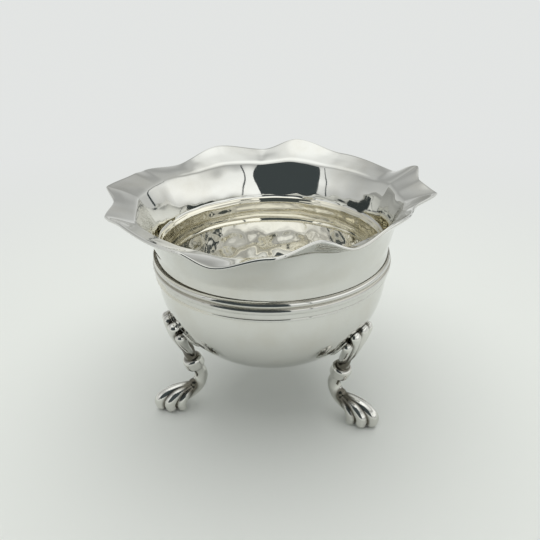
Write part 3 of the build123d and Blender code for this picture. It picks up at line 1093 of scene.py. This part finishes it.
def make_card(name, centre, size, facing):
    """A dark card that only shows in the metal."""
    finish = bpy.data.materials.new(name)
    tree = bare_tree(finish)
    glow = add_node(tree, "ShaderNodeEmission", {
        "Color": (*CARD_COLOUR, 1.0), "Strength": 1.0,
    })
    add_node(tree, "ShaderNodeOutputMaterial", {"Surface": glow.outputs["Emission"]})
    mesh = make_plate(name, size[0] / 2 * MM, size[1] / 2 * MM)
    mesh.materials.append(finish)
    turn_to = (Vector(facing) - Vector(centre)).to_track_quat("Z", "Y")
    mesh.transform(Matrix.Translation(Vector(centre) * MM) @ turn_to.to_matrix().to_4x4())
    card = link(name, mesh)
    card.visible_camera = False
    card.visible_diffuse = False
    card.visible_shadow = False


def tent_side(tree, height, rows):
    """Light of one side of the tent, by the height of the line of sight."""
    ramp = add_node(tree, "ShaderNodeValToRGB", {"Fac": height})
    ramp.color_ramp.interpolation = "EASE"
    steps = ramp.color_ramp.elements
    while len(steps) < len(rows):
        steps.new(0.5)
    for step, (place, strength) in zip(steps, rows):
        step.position = place
        step.color = (*(strength * part for part in TENT_COLOUR), 1.0)
    return add_node(tree, "ShaderNodeBackground", {
        "Color": ramp.outputs["Color"], "Strength": 1.0,
    }).outputs["Background"]


def make_light():
    """Soft light from a pale tent, brighter in front, with a large lamp overhead."""
    world = bpy.data.worlds.new("tent")
    bpy.context.scene.world = world
    tree = bare_tree(world)
    way = add_node(tree, "ShaderNodeTexCoord").outputs["Generated"]
    height = add_node(tree, "ShaderNodeSeparateXYZ", {0: way}).outputs["Z"]
    lean = add_node(tree, "ShaderNodeVectorMath", {
        0: way, 1: BRIGHT_SIDE,
    }, operation="DOT_PRODUCT").outputs["Value"]
    front = ranged(tree, lean, BRIGHT_RANGE, interpolation_type="SMOOTHSTEP")
    seen = add_node(tree, "ShaderNodeMixShader", {
        0: front, 1: tent_side(tree, height, TENT), 2: tent_side(tree, height, FLAPS),
    })
    even = add_node(tree, "ShaderNodeBackground", {
        "Color": (*EVEN_COLOUR, 1.0), "Strength": EVEN_LIGHT,
    })
    path = add_node(tree, "ShaderNodeLightPath").outputs
    direct = reckon(tree, "MAXIMUM", path["Is Camera Ray"], path["Is Glossy Ray"])
    direct = reckon(tree, "MAXIMUM", direct, path["Is Transmission Ray"])
    both = add_node(tree, "ShaderNodeMixShader", {
        0: direct, 1: even.outputs["Background"], 2: seen.outputs["Shader"],
    })
    add_node(tree, "ShaderNodeOutputWorld", {"Surface": both.outputs["Shader"]})

    lamp = bpy.data.lights.new("overhead", "AREA")
    lamp.shape = "DISK"
    lamp.size = LAMP_WIDTH
    lamp.energy = LAMP_POWER
    lamp.color = LAMP_COLOUR
    holder = link("overhead", lamp)
    holder.location = LAMP_PLACE
    holder.visible_glossy = False


# Camera, with its lens from the photograph's side and focal length in pixels

CAMERA_AIM = (0.0, 0.0, 35.11)
CAMERA_AWAY = 139.2
CAMERA_TURN = 7.0
CAMERA_RISE = 27.2
CAMERA_ROLL = -0.84
PHOTO_SIDE = 540
FOCUS_PIXELS = 560
SENSOR_WIDTH = 36.0
SIGHT_RANGE = (0.005, 50.0)


def make_camera():
    """The camera at the photograph's viewing angle."""
    lens = bpy.data.cameras.new("camera")
    lens.sensor_width = SENSOR_WIDTH
    lens.lens = SENSOR_WIDTH * FOCUS_PIXELS / PHOTO_SIDE
    lens.clip_start, lens.clip_end = SIGHT_RANGE
    camera = link("camera", lens)
    turn_by, rise = radians(CAMERA_TURN), radians(CAMERA_RISE)
    back = Vector((sin(turn_by) * cos(rise), -cos(turn_by) * cos(rise), sin(rise)))
    camera.location = (Vector(CAMERA_AIM) + back * CAMERA_AWAY) * MM
    camera.rotation_mode = "QUATERNION"
    roll = Matrix.Rotation(radians(CAMERA_ROLL), 3, "Z")
    look = (-back).to_track_quat("-Z", "Y").to_matrix() @ roll
    camera.rotation_quaternion = look.to_quaternion()
    bpy.context.scene.camera = camera


make_floor()
make_light()
make_camera()
for name, (centre, size, facing) in CARDS.items():
    make_card(name, centre, size, facing)

bpy.context.scene.view_settings.view_transform = "Standard"
# Light finds its way out of the mirror-bright bowl
bpy.context.scene.cycles.glossy_bounces = 12
